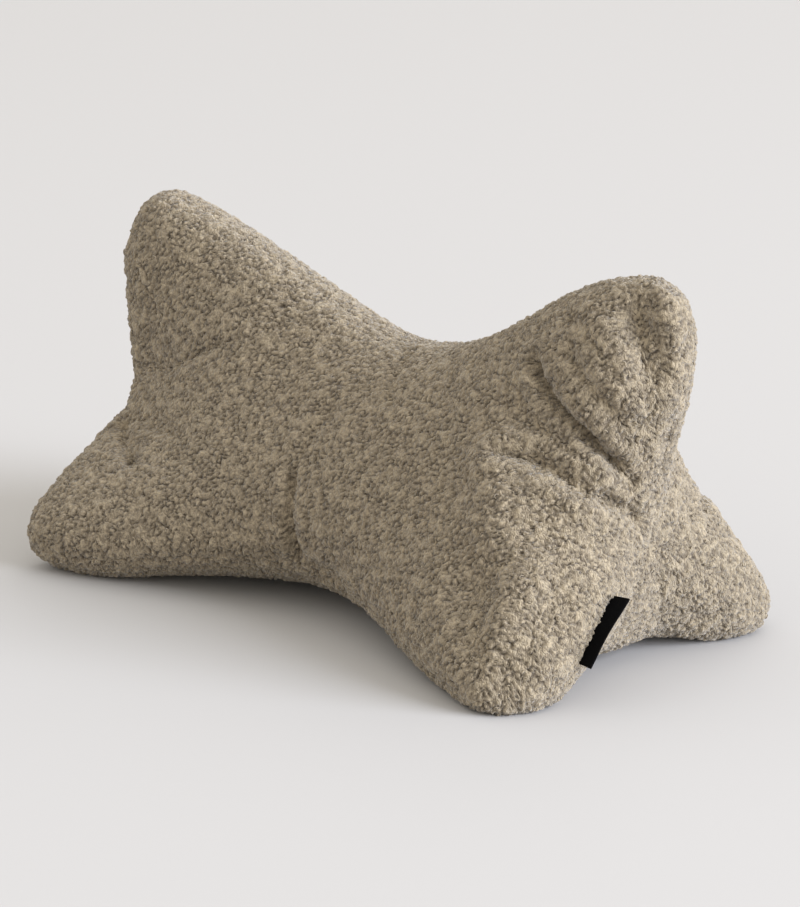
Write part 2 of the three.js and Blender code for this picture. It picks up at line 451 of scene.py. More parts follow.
@dataclass(frozen=True)
class PillowFrame:
    """The straight pillow's directions: x along it, out from its middle line and the angle round that line.

    The real middle line is bowed: at a distance at from its middle it lies forward and up by these amounts,
    and right_up higher at the right end. A lobe's turn starts at end_from or flank_from out and is whole at
    full. turns gives each lobe by its seam and its end, -1 for the left. Sizes in mm.
    """

    shift: Row = (-2.53, 2.85, 0.0)
    middle_height: float = 79.0
    forward: float = 3.0
    up: float = 3.0
    right_up: float = 1.0
    at: float = 200.0
    flank_from: float = 89.0
    end_from: float = 45.0
    full: float = 140.0
    turns: dict[tuple[Seam, int], LobeTurn] = field(
        default_factory=lambda: {
            (Seam.TOP, -1): LobeTurn(3, 0, 200, 132, 7, 99),
            (Seam.FRONT, -1): LobeTurn(-2, 0, 199, 124, 7, 92),
            (Seam.BACK, -1): LobeTurn(3, 0, 194, 126, 7, 98),
            (Seam.TOP, 1): LobeTurn(0, 0, 196, 132, 7, 94),
            (Seam.FRONT, 1): LobeTurn(0, 12, 182, 132, 34, 106),
            (Seam.BACK, 1): LobeTurn(-2, 0, 190, 121, 7, 100),
        }
    )

    def straight(self, points: np.ndarray) -> np.ndarray:
        """Takes places on the part to the straight pillow, whose middle line is the x axis.

        Args:
            points: Places in metres.

        Returns:
            Places in mm.
        """
        at = points / MM - np.array(self.shift)
        share = at[:, 0] / self.at
        at[:, 1] += self.forward * share * share
        at[:, 2] -= self.middle_height + self.up * share * share + self.right_up * share
        return at

    def place(self, x: float, angle: float, out: float) -> np.ndarray:
        """Takes a point of the straight pillow back to the part.

        Args:
            x: Its place along the pillow, in mm.
            angle: Its angle round the middle line, in degrees.
            out: Its distance out from the middle line, in mm.

        Returns:
            The place on the part, in metres.
        """
        turn = math.radians(angle)
        share = x / self.at
        y = out * math.cos(turn) - self.forward * share * share
        z = out * math.sin(turn) + self.middle_height + self.up * share * share + self.right_up * share
        return (np.array([x, y, z]) + np.array(self.shift)) * MM

    def seam_angle(self, seam: Seam, straight: np.ndarray) -> np.ndarray:
        """The angle at which a seam's surface lies next to each place, in degrees.

        Args:
            seam: The seam.
            straight: Places on the straight pillow, in mm.

        Returns:
            One angle for each place.
        """
        out = np.hypot(straight[:, 1], straight[:, 2])
        angle = np.full(len(straight), float(seam.value))
        for end in (-1, 1):
            turn = self.turns[seam, end]
            here = straight[:, 0] * end > 0
            along = straight[:, 0] * end - turn.reach
            round_tip = np.degrees(np.arctan2(out - turn.out, along))
            side = 1 - 2 * smooth_step(round_tip, turn.end_turn, turn.flank_turn)
            start = self.flank_from + (self.end_from - self.flank_from) * (side + 1) / 2
            lean = (turn.lean + turn.twist * np.maximum(side, 0)) * smooth_step(out, start, self.full)
            angle += np.where(here, lean, 0)
        return angle

    def off_seam(self, seam: Seam, points: np.ndarray) -> tuple[np.ndarray, np.ndarray]:
        """How far places lie from a seam's surface.

        Args:
            seam: The seam.
            points: Places in metres.

        Returns:
            The signed distance round the middle line in mm, and the signed turn from the seam in degrees.
        """
        straight = self.straight(points)
        angle = np.degrees(np.arctan2(straight[:, 2], straight[:, 1]))
        turn = (angle - self.seam_angle(seam, straight) + 180) % 360 - 180
        out = np.hypot(straight[:, 1], straight[:, 2])
        return out * np.sin(np.radians(np.clip(turn, -90, 90))), turn


# The filled form


@dataclass(frozen=True)
class Crease:
    """A fold in the cloth, or with a negative depth a place that the filling swells. Sizes in mm.

    Each point of its course is a place on the straight pillow: x, the angle and the distance out. ridge is
    the height of the cloth that the fold pushes up on either side. ridge_at and ridge_width are in widths.
    """

    name: str
    course: tuple[Row, ...]
    depth: float
    width: float
    ridge: float = 0.0
    ridge_at: float = 2.1
    ridge_width: float = 1.1

    def inward(self, off: np.ndarray) -> np.ndarray:
        """How far the fold draws the cloth in at each distance from its course, all in mm."""
        beside = (off - self.ridge_at * self.width) / (self.ridge_width * self.width)
        return self.depth * np.exp(-((off / self.width) ** 2)) - self.ridge * np.exp(-beside * beside)


CREASES = (
    Crease(
        "upper right root",
        ((144, 108, 110), (156, 113, 96), (166, 115, 91), (180, 118, 84), (190, 119, 72), (197, 118, 60)),
        7.5,
        4.2,
        1.8,
    ),
    Crease("upper right root, lower end", ((197, 118, 60), (205, 118, 46)), 3.0, 4.2, 0.8),
    Crease(
        "upper right, second",
        ((168, 106, 120), (177, 109, 115), (193, 112, 101), (206, 112, 84)),
        2.6,
        5.0,
        1.0,
    ),
    Crease("upper right, third", ((163, 102, 134), (186, 106, 124), (198, 108, 113)), 1.8, 5.0, 0.8),
    Crease("upper right, fourth", ((160, 111, 106), (180, 114, 96)), 1.6, 4.0, 0.6),
    Crease(
        "front right root",
        ((137, 137, 72), (158, 136, 69), (175, 139, 68), (191, 142, 63), (198, 141, 47), (203, 132, 20)),
        4.0,
        5.0,
        1.6,
    ),
    Crease("upper right end", ((207, 99, 143), (212, 100, 129), (216, 99, 112)), 9.5, 11.0),
    Crease("upper right, edge", ((215, 92, 149), (220, 92, 130), (221, 92, 110), (220, 93, 90)), -4.5, 11.0),
    Crease("waist, front", ((-12, 137, 77), (-19, 155, 75), (-22, 173, 77)), 1.6, 6.0, 0.8),
    Crease("waist, front, lower end", ((-22, 173, 77), (-18, 190, 84), (-14, 204, 84)), 4.0, 4.5, 1.6),
    Crease("saddle, near", ((18, 101, 88), (30, 126, 84)), 1.6, 5.0, 0.6),
    Crease("left notch", ((-192, 170, 62), (-172, 176, 76), (-156, 182, 87)), 4.0, 5.0, 1.0),
    Crease("upper left root, back", ((-196, 60, 66), (-172, 63, 90), (-148, 66, 106)), 3.5, 5.0, 1.2),
    Crease("upper right root, back", ((148, 66, 102), (176, 62, 84), (200, 58, 58)), 4.5, 4.5, 1.4),
    Crease("lower right, back", ((140, 12, 76), (170, 6, 74), (192, 2, 60)), 3.0, 5.0, 1.0),
    Crease("waist, back", ((2, 20, 82), (8, 52, 84)), 2.4, 5.5, 1.0),
    Crease("front right, rise", ((134, 144, 76), (146, 158, 78), (158, 172, 84)), -8.0, 19.0),
    Crease("waist, underside", ((2, 211, 88), (17, 210, 91)), 4.0, 10.0),
    Crease("front right, flank", ((160, 186, 114), (172, 196, 130), (184, 202, 138)), 6.5, 16.0),
    Crease("front right, tip", ((205, 207, 111), (198, 212, 130)), -4.0, 13.0),
    Crease("left end, full", ((-218, 106, 110), (-216, 112, 88), (-209, 125, 58)), -4.0, 18.0),
    Crease("front left, full", ((-209, 180, 56), (-210, 187, 72), (-212, 192, 90)), -4.0, 16.0),
)


@dataclass
class FilledForm:
    """The pillow under its pile: the CAD solid, drawn in, swelled by its filling and creased. Sizes in mm.

    The blank lies under_pile inside the solid and slack deeper between the seams, which the simulation makes
    good. crown is how far from a seam the cloth is free. A vertex moves by cap at most, and evened is how
    many rounds even out the drift that is taken out again. course_steps is how finely a crease is laid.
    """

    pillow: PillowFrame
    under_pile: float = 1.1
    slack: float = 2.2
    crown: float = 16.0
    voxel: float = 5.3
    pressure: float = 14.0
    stretch: float = 8.0
    bend: float = 0.5
    steps: int = 20
    cap: float = 9.0
    finer: int = 2
    evened: int = 260
    seam_depth: float = 1.0
    seam_width: float = 3.2
    course_steps: int = 12
    creases: tuple[Crease, ...] = CREASES

    def build(self) -> bpy.types.Object:
        """Swells the form and creases it.

        Returns:
            A closed mesh object with edges of about 1.3 mm, to be cut into panels.
        """
        form = self.blank()
        self.swell(form)
        fine = form.modifiers.new("finer", "SUBSURF")
        fine.levels = fine.render_levels = self.finer
        apply_modifiers(form)
        self.crease(form)
        return form

    def blank(self) -> bpy.types.Object:
        """Copies the CAD solid's mesh, draws it in by the pile's depth and remeshes it evenly.

        Returns:
            The blank that the filling swells.
        """
        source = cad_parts["pillow"].data.copy()
        form = bpy.data.objects.new("filled_form", source)
        bpy.context.scene.collection.objects.link(form)
        weld = form.modifiers.new("weld", "WELD")
        weld.merge_threshold = 0.01 * MM
        apply_modifiers(form)
        points = points_of(form.data)
        drawn_in = self.under_pile + ((self.slack * self.from_seams(points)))
        move_points(form.data, points - normals_of(form.data) * np.reshape(drawn_in, (-1, 1)) * MM)
        even = form.modifiers.new("even", "REMESH")
        even.mode = "VOXEL"
        even.voxel_size = self.voxel * MM
        even.use_smooth_shade = True
        apply_modifiers(form)
        return form

    def from_seams(self, points: np.ndarray) -> np.ndarray:
        """How far into a panel places lie.

        Args:
            points: Places in metres.

        Returns:
            A share for each place: 0 on a seam, 1 well inside.
        """
        share = np.ones(len(points))
        for seam in Seam:
            off, turn = self.pillow.off_seam(seam, points)
            free = smooth_step(np.abs(off), 2, self.crown)
            share = np.where(np.abs(turn) < NEAR_SEAM, np.minimum(share, free), share)
        return share

    def swell(self, form: bpy.types.Object) -> None:
        """Simulates the cloth under its filling's pressure, held at the seams.

        The folds and crowns that this gives are kept, capped. The slow drift of the whole panel is taken out
        again, because the CAD solid already has the filled pillow's outline.

        Args:
            form: The blank.
        """
        scene = bpy.context.scene
        start = points_of(form.data)
        hold = form.vertex_groups.new(name="seams")
        for at, share in enumerate(self.from_seams(start)):
            hold.add([at], float(1 - share) ** 2, "REPLACE")
        cloth = form.modifiers.new("cloth", "CLOTH")
        settings = cloth.settings
        settings.quality = 5
        settings.mass = 0.3
        settings.tension_stiffness = settings.compression_stiffness = self.stretch
        settings.bending_stiffness = self.bend
        settings.vertex_group_mass = hold.name
        settings.use_pressure = True
        settings.uniform_pressure_force = self.pressure
        settings.effector_weights.gravity = 0
        cloth.point_cache.frame_start = 1
        cloth.point_cache.frame_end = self.steps
        for step in range(1, self.steps + 1):
            scene.frame_set(step)
        ready = form.evaluated_get(bpy.context.evaluated_depsgraph_get())
        end = points_of(ready.data)
        form.modifiers.clear()
        scene.frame_set(1)
        move = end - start
        move -= spread_over(form.data, move, self.evened)
        far = np.linalg.norm(move, axis=1, keepdims=True)
        LOG.info("cloth moved %.1f mm on average, %.1f mm at most", far.mean() / MM, far.max() / MM)
        move *= np.minimum(1, self.cap * MM / np.maximum(far, 1e-9))
        let_out = normals_of(form.data) * (self.slack * self.from_seams(start))[:, None] * MM
        move_points(form.data, start + let_out + move)

    def crease(self, form: bpy.types.Object) -> None:
        """Presses the creases and the seams' grooves into the form.

        Args:
            form: The swelled form.
        """
        points = points_of(form.data)
        skin = BVHTree.FromPolygons(points.tolist(), triangles_of(form.data).tolist())
        inward = np.zeros(len(points))
        for crease in self.creases:
            course = self.laid_on(skin, crease)
            inward += crease.inward(distance_to_course(points, course) / MM)
        for seam in Seam:
            off, turn = self.pillow.off_seam(seam, points)
            near = np.abs(turn) < NEAR_SEAM
            inward += np.where(near, self.seam_depth * np.exp(-((off / self.seam_width) ** 2)), 0)
        move_points(form.data, points - normals_of(form.data) * inward[:, None] * MM)

    def laid_on(self, skin: BVHTree, crease: Crease) -> np.ndarray:
        """Lays a crease's course on the form.

        Args:
            skin: The form's surface.
            crease: The crease.

        Returns:
            Places on the form, in metres, a few mm apart.
        """
        rows = np.array(crease.course, float)
        even = np.linspace(0, len(rows) - 1, self.course_steps)
        course = np.stack([np.interp(even, np.arange(len(rows)), rows[:, axis]) for axis in range(3)], 1)
        return np.array([skin.find_nearest(Vector(self.pillow.place(*row)))[0] for row in course])


def spread_over(mesh: bpy.types.Mesh, values: np.ndarray, rounds: int) -> np.ndarray:
    """Evens values out over a mesh by sharing each with its neighbours again and again.

    Args:
        mesh: The mesh.
        values: One row for each vertex.
        rounds: How many times they are shared.

    Returns:
        The evened values.
    """
    edges = np.empty(2 * len(mesh.edges), np.int32)
    mesh.edges.foreach_get("vertices", edges)
    start, stop = edges.reshape(-1, 2).T
    count = np.maximum(np.bincount(edges, minlength=len(values)), 1)
    evened = values.copy()
    for _ in range(rounds):
        for axis in range(values.shape[1]):
            column = evened[:, axis]
            sums = np.bincount(start, column[stop], len(values))
            sums += np.bincount(stop, column[start], len(values))
            evened[:, axis] = (column + sums / count) / 2
    return evened


def distance_to_course(points: np.ndarray, course: np.ndarray) -> np.ndarray:
    """The distance from each point to a course of straight stretches.

    Args:
        points: The points, one row each.
        course: The course's points, one row each.

    Returns:
        One distance for each point.
    """
    best = np.full(len(points), np.inf)
    for start, stop in zip(course[:-1], course[1:], strict=True):
        way = stop - start
        share = np.clip((points - start) @ way / max(float(way @ way), 1e-12), 0, 1)
        best = np.minimum(best, np.linalg.norm(points - start - share[:, None] * way, axis=1))
    return best


# The pile


@dataclass
class Clumps:
    """The curls' clumps: where they stand, how wide and high, and the yarn wound over them. Sizes in mm.

    Crevices part the clumps, except where merge runs them together. metric makes them a little taller than
    they are wide, stray makes their edges wander, and winding is the depth of the yarn's turns over them.
    The crevices and, by a share, the turns' grooves also get painted shade.
    """

    spacing: float = 2.9
    height: float = 2.5
    height_range: tuple[float, float] = (0.6, 1.2)
    crevice: float = 0.7
    dome: float = 0.22
    merge_scale: float = 5.5
    merge: tuple[float, float] = (-0.45, 0.05)
    metric: Row = (1.15, 1.15, 0.85)
    stray: float = 1.8
    stray_scale: float = 4.5
    winding: float = 0.55
    winding_scale: float = 2.3
    winding_width: float = 3.0
    # Painted shade: how much the turns' grooves are darkened
    winding_painted_shade: float = 0.5
    seed: int = 4
    centres: np.ndarray = field(default_factory=lambda: np.zeros((0, 3)))
    heights: np.ndarray = field(default_factory=lambda: np.zeros(0))
    shades: np.ndarray = field(default_factory=lambda: np.zeros(0))
    tree: KDTree | None = None

    def scatter(self, points: np.ndarray) -> None:
        """Chooses the clumps' centres among the form's points, no two closer than the spacing.

        Args:
            points: The form's points, in metres.
        """
        draw = np.random.default_rng(self.seed)
        self.centres = points[picked_apart(points, self.spacing * MM, draw)]
        count = len(self.centres)
        self.heights = self.height * draw.uniform(*self.height_range, count)
        self.shades = draw.uniform(0, 1, count)
        self.tree = KDTree(count)
        for i, centre in enumerate(self.centres * np.array(self.metric)):
            self.tree.insert(centre, i)
        self.tree.balance()
        LOG.info("%d clumps", count)

    def relief(self, points: np.ndarray) -> tuple[np.ndarray, np.ndarray, np.ndarray]:
        """How high the pile stands at each point.

        Args:
            points: Places on the form, in metres.

        Returns:
            The height in mm, the depth in the pile from 0 to 1, which paints shade and is lowest in the
            crevices and the turns' grooves, and the number of the nearest clump.
        """
        drift = noise_at(points, self.stray_scale, noise.noise_vector)
        strayed = (points + drift * self.stray * MM) * np.array(self.metric)
        found = [self.tree.find_n(point, 2) for point in strayed]
        first = np.array([hits[0][2] for hits in found]) / MM
        second = np.array([hits[1][2] for hits in found]) / MM
        nearest = np.array([hits[0][1] for hits in found])
        parted = smooth_step(noise_at(points, self.merge_scale, noise.noise), *self.merge)
        rise = 1 - parted * np.exp(-((second - first) / self.crevice))
        dome = 1 - self.dome * (first / self.spacing) ** 2
        ridges = np.abs(noise_at(points, self.winding_scale, noise.noise))
        wound = (1 - np.minimum(1, self.winding_width * ridges)) ** 1.5
        height = self.heights[nearest] * rise * dome - self.winding * wound
        # The second value paints shade: it is lowest in the crevices and the turns' grooves
        return np.maximum(height, 0), np.clip(rise * (1 - self.winding_painted_shade * wound), 0, 1), nearest


def noise_at(points: np.ndarray, scale: float, kind: Callable[[Vector], float | Vector]) -> np.ndarray:
    """Blender's noise at each place.

    Args:
        points: Places in metres.
        scale: The noise's scale, in mm.
        kind: The noise's function.

    Returns:
        One value, or one row of three, for each place.
    """
    return np.array([kind(Vector(point) / (scale * MM)) for point in points])


def picked_apart(points: np.ndarray, gap: float, draw: np.random.Generator) -> np.ndarray:
    """Picks points at random so that no two lie closer than a gap.

    Args:
        points: The places to pick from, one row each.
        gap: The least distance between two picked places.
        draw: The random numbers' source.

    Returns:
        The numbers of the picked places.
    """
    cells: dict[tuple[int, int, int], list[tuple[float, float, float]]] = {}
    around = [(i, j, k) for i in (-1, 0, 1) for j in (-1, 0, 1) for k in (-1, 0, 1)]
    rows = points.tolist()
    homes = np.floor(points / gap).astype(int).tolist()
    least = gap * gap
    picked = []
    for at in draw.permutation(len(points)).tolist():
        x, y, z = rows[at]
        a, b, c = homes[at]
        near = (q for i, j, k in around for q in cells.get((a + i, b + j, c + k), ()))
        if all((x - q[0]) ** 2 + (y - q[1]) ** 2 + (z - q[2]) ** 2 >= least for q in near):
            cells.setdefault((a, b, c), []).append((x, y, z))
            picked.append(at)
    return np.array(picked)


@dataclass
class YarnCurls:
    """Loose curls of yarn that stand out of the pile: short spiral arcs of a thin tube. Sizes in mm."""

    spacing: float = 4.8
    off_seam: float = 1.3
    seed: int = 11
    yarn_radius: tuple[float, float] = (0.34, 0.48)
    curl_radius: tuple[float, float] = (0.9, 1.7)
    # How far a curl goes round and how far it leans, in degrees
    sweep: tuple[float, float] = (160.0, 290.0)
    tilt: float = 28.0
    # How much the arc winds in, how far its middle rises, and how far its ends are sunk
    winds_in: float = 0.35
    rise: float = 0.35
    sunk: float = 0.25
    # The yarn's thickness at the ends, as a share, and the depth in the pile at the start and the end, which
    # paints shade on the curl, darker at its start
    end_share: float = 0.55
    painted_shade_range: tuple[float, float] = (0.6, 0.9)
    floor_gap: float = 0.1
    # How much a curl leans away from its clump's middle for each mm, how high up the pile its foot is, and
    # how much of its shade is its own
    spread: float = 0.1
    foot: float = 0.85
    own_shade: float = 0.3
    steps: int = 5
    sides: int = 3

    def build(
        self, name: str, points: np.ndarray, normals: np.ndarray, shades: np.ndarray
    ) -> bpy.types.Object:
        """Lays one curl at each place.

        Args:
            name: The piece's name.
            points: The curls' middles, in metres.
            normals: The pile's direction at each.
            shades: The yarn's shade at each, 0 to 1.

        Returns:
            One mesh object that holds all the curls.
        """
        draw = np.random.default_rng(self.seed)
        count = len(points)
        random = draw.normal(size=(count, 3))
        across = unit(random - np.sum(random * normals, axis=1, keepdims=True) * normals)
        beside = np.cross(normals, across)
        tilt = np.radians(draw.uniform(-self.tilt, self.tilt, count))[:, None]
        lifted = across * np.cos(tilt) + normals * np.sin(tilt)
        axis = unit(np.cross(lifted, beside))
        radius = draw.uniform(*self.curl_radius, count)[:, None]
        thick = draw.uniform(*self.yarn_radius, count)[:, None, None]
        sweep = np.radians(draw.uniform(*self.sweep, count))[:, None]
        share = np.linspace(0, 1, self.steps + 1)[None, :]
        angle = sweep * share
        spiral = radius * (1 - self.winds_in * share)
        rise = self.rise * np.sin(np.pi * share) ** 0.7 - self.sunk
        outward = np.cos(angle)[..., None] * lifted[:, None] + np.sin(angle)[..., None] * beside[:, None]
        line = spiral[..., None] * outward + rise[..., None] * normals[:, None]
        taper = self.end_share + (1 - self.end_share) * np.sin(np.pi * (0.08 + 0.84 * share))
        rings = []
        for side in range(self.sides):
            turn = 2 * math.pi * side / self.sides
            away = math.cos(turn) * outward + math.sin(turn) * axis[:, None]
            rings.append(line + thick * taper[..., None] * away)
        tube = np.stack(rings, 2) * MM + points[:, None, None]
        tube[..., 2] = np.maximum(tube[..., 2], self.floor_gap * MM)
        piece = mesh_object(name, tube.reshape(-1, 3), self.faces(count))
        # Painted shade: each curl is darker at its start and lighter towards its end
        low, high = self.painted_shade_range
        depth = np.tile(np.repeat(low + (high - low) * share.ravel(), self.sides), count)
        shade = np.repeat(shades, (self.steps + 1) * self.sides)
        side = np.tile(np.arange(self.sides), count * (self.steps + 1))
        write_attribute(piece.data, "pile", depth)
        write_attribute(piece.data, "shade", shade)
        # Curls of one shade share a place on the map, because they bake alike. The small steps open their
        # triangles there.
        write_map(piece.data, 0.01 + 0.96 * shade + 0.008 * side, 0.98 * depth + 0.004 * (side == 1))
        return piece

    def faces(self, count: int) -> np.ndarray:
        """Makes the triangles of tubes with closed ends.

        Args:
            count: How many tubes.

        Returns:
            One row of vertex numbers for each triangle.
        """
        rows = []
        for step in range(self.steps):
            for side in range(self.sides):
                after = (side + 1) % self.sides
                a = step * self.sides + side
                b = step * self.sides + after
                rows += [(a, b, b + self.sides), (a, b + self.sides, a + self.sides)]
        last = self.steps * self.sides
        for side in range(1, self.sides - 1):
            rows += [(0, side + 1, side), (last, last + side, last + side + 1)]
        one = np.array(rows)
        each = (self.steps + 1) * self.sides
        return (one[None] + each * np.arange(count)[:, None, None]).reshape(-1, 3)


def write_attribute(mesh: bpy.types.Mesh, name: str, values: np.ndarray) -> None:
    """Stores one number for each vertex of a mesh under a name."""
    stored = mesh.attributes.new(name, "FLOAT", "POINT")
    stored.data.foreach_set("value", np.ascontiguousarray(values, np.float32))


def write_map(mesh: bpy.types.Mesh, u: np.ndarray, v: np.ndarray) -> None:
    """Gives a mesh the UV map that its finish is baked through.

    Args:
        mesh: The mesh.
        u: Each vertex's place across the map.
        v: Each vertex's place up the map.
    """
    corners = np.empty(len(mesh.loops), np.int32)
    mesh.loops.foreach_get("vertex_index", corners)
    layer = mesh.uv_layers.new(name="OFBake")
    layer.data.foreach_set("uv", np.stack([u[corners], v[corners]], 1).astype(np.float32).ravel())


@dataclass
class FleeceCover:
    """The cover: three panels of boucle fleece, sewn edge to edge, and the curls that stand out of them."""

    pillow: PillowFrame
    form: FilledForm
    clumps: Clumps
    curls: YarnCurls
    label: "SideLabel"
    fleece: BoucleFleece = BoucleFleece()
    # The pillow's length is drawn in to this share when a panel is laid flat for its map, which it fills
    # from the middle to this far out
    length_share: float = 0.48
    map_half: float = 0.49
    # A vertex this close to a seam, in mm, is drawn onto it, except near the middle line
    seam_catch: float = 1.5
    middle: float = 10.0

    def build(self) -> list[bpy.types.Object]:
        """Makes the panels and the curls.

        Returns:
            The pieces.
        """
        body = self.form.build()
        faces = triangles_of(body.data)
        points = points_of(body.data)
        normals = normals_of(body.data)
        bpy.data.objects.remove(body)
        sector = self.sectors(points[faces].mean(1))
        points = self.on_seams(points, faces, sector)
        self.clumps.scatter(points)
        # pile is painted shade: low in the crevices and the turns' grooves
        height, pile, nearest = self.clumps.relief(points)
        raised = points + normals * height[:, None] * MM
        raised[:, 2] = np.maximum(raised[:, 2], 0)
        shade = self.clumps.shades[nearest]
        pieces = []
        for number, panel in enumerate(Panel):
            pieces.append(self.panel(panel, raised, faces[sector == number], pile, shade))
        pieces += self.loose_curls(points, normals, height, nearest)
        for piece in pieces:
            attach(piece, "root")
            LOG.info("%s: %d faces", piece.name, len(piece.data.polygons))
        return pieces

    def panel(
        self, panel: Panel, points: np.ndarray, faces: np.ndarray, pile: np.ndarray, shade: np.ndarray
    ) -> bpy.types.Object:
        """Makes one panel of the faces between its two seams.

        Args:
            panel: The panel.
            points: All the cover's vertices, in metres.
            faces: The panel's own faces.
            pile: Each vertex's depth in the pile, 0 to 1, which paints shade, darkest in the crevices.
            shade: Each vertex's shade of yarn, 0 to 1.

        Returns:
            The piece.
        """
        used, compact = np.unique(faces, return_inverse=True)
        piece = mesh_object(f"cover_{panel.name.lower()}", points[used], compact.reshape(-1, 3))
        write_attribute(piece.data, "pile", pile[used])
        write_attribute(piece.data, "shade", shade[used])
        write_map(piece.data, *self.spread_out(panel, points[used]))
        piece.data.materials.append(self.fleece.pile())
        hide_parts("pillow")
        return piece

    def loose_curls(
        self, points: np.ndarray, normals: np.ndarray, height: np.ndarray, nearest: np.ndarray
    ) -> list[bpy.types.Object]:
        """Lays the loose curls over the cover, off the seams and the label.

        Args:
            points: The cover's vertices under the pile, in metres.
            normals: Their normals.
            height: The pile's height at each, in mm.
            nearest: The number of each one's clump.

        Returns:
            One piece for each half of each panel.
        """
        draw = np.random.default_rng(self.curls.seed)
        at = picked_apart(points, self.curls.spacing * MM, draw)
        at = at[~self.label.covers(points[at])]
        for seam in Seam:
            off, turn = self.pillow.off_seam(seam, points[at])
            at = at[(np.abs(off) > self.curls.off_seam) | (np.abs(turn) > NEAR_SEAM)]
        from_centre = points[at] - self.clumps.centres[nearest[at]]
        outward = unit(normals[at] + from_centre * self.curls.spread / MM)
        tops = points[at] + normals[at] * (height[at] * self.curls.foot)[:, None] * MM
        own_shade = draw.uniform(0, self.curls.own_shade, len(at))
        shades = self.clumps.shades[nearest[at]] * (1 - self.curls.own_shade) + own_shade
        sector = self.sectors(points[at])
        pieces = []
        for number, panel in enumerate(Panel):
            for side, half in (("left", points[at][:, 0] <= 0), ("right", points[at][:, 0] > 0)):
                own = half & (sector == number)
                name = f"curls_{panel.name.lower()}_{side}"
                piece = self.curls.build(name, tops[own], outward[own], shades[own])
                piece.data.materials.append(self.fleece.loops())
                pieces.append(piece)
        return pieces

    def sectors(self, points: np.ndarray) -> np.ndarray:
        """Finds the panel that each place belongs to.

        Args:
            points: Places in metres.

        Returns:
            The panel's number for each place, in the order of Panel.
        """
        turns = {seam: self.pillow.off_seam(seam, points)[1] for seam in Seam}
        sector = np.full(len(points), 2)
        sector[(turns[Seam.TOP] >= 0) & (turns[Seam.FRONT] < 0)] = 0
        sector[(turns[Seam.FRONT] >= 0) & (turns[Seam.BACK] < 0)] = 1
        return sector

    def on_seams(self, points: np.ndarray, faces: np.ndarray, sector: np.ndarray) -> np.ndarray:
        """Moves the vertices between two panels onto their seam, so that each panel's edge is a clean line.

        Args:
            points: The cover's vertices, in metres.
            faces: Its triangles.
            sector: The number of each face's panel.

        Returns:
            The vertices' new places.
        """
        low = np.full(len(points), 9)
        high = np.zeros(len(points), int)
        np.minimum.at(low, faces.ravel(), np.repeat(sector, 3))
        np.maximum.at(high, faces.ravel(), np.repeat(sector, 3))
        straight = self.pillow.straight(points)
        out = np.hypot(straight[:, 1], straight[:, 2])
        edge = (low < high) & (out > self.middle)
        around = np.stack([np.zeros(len(points)), -straight[:, 2], straight[:, 1]], 1)
        around /= np.maximum(out, 1)[:, None]
        moved = points.copy()
        for seam in Seam:
            off, turn = self.pillow.off_seam(seam, points)
            own = edge & (np.abs(off) < self.seam_catch) & (np.abs(turn) < NEAR_SEAM)
            moved[own] -= around[own] * off[own, None] * MM
        return moved

    def spread_out(self, panel: Panel, points: np.ndarray) -> tuple[np.ndarray, np.ndarray]:
        """Lays a panel flat, as seen from the pillow's middle.

        Args:
            panel: The panel.
            points: Its vertices, in metres.

        Returns:
            Each vertex's place on the map, 0 to 1 each way.
        """
        start, stop = (seam.value for seam in panel.value)
        middle = math.radians(start + ((stop - start) % 360) / 2)
        sight = unit(self.pillow.straight(points) * np.array([self.length_share, 1, 1]))
        ahead = np.clip(sight @ np.array([0, math.cos(middle), math.sin(middle)]), -1, 1)
        beside = np.stack([sight[:, 0], sight @ np.array([0, -math.sin(middle), math.cos(middle)])], 1)
        flat = unit(beside) * np.arccos(ahead)[:, None]
        flat = 0.5 + self.map_half * flat / np.abs(flat).max()
        return flat[:, 0], flat[:, 1]


# The label


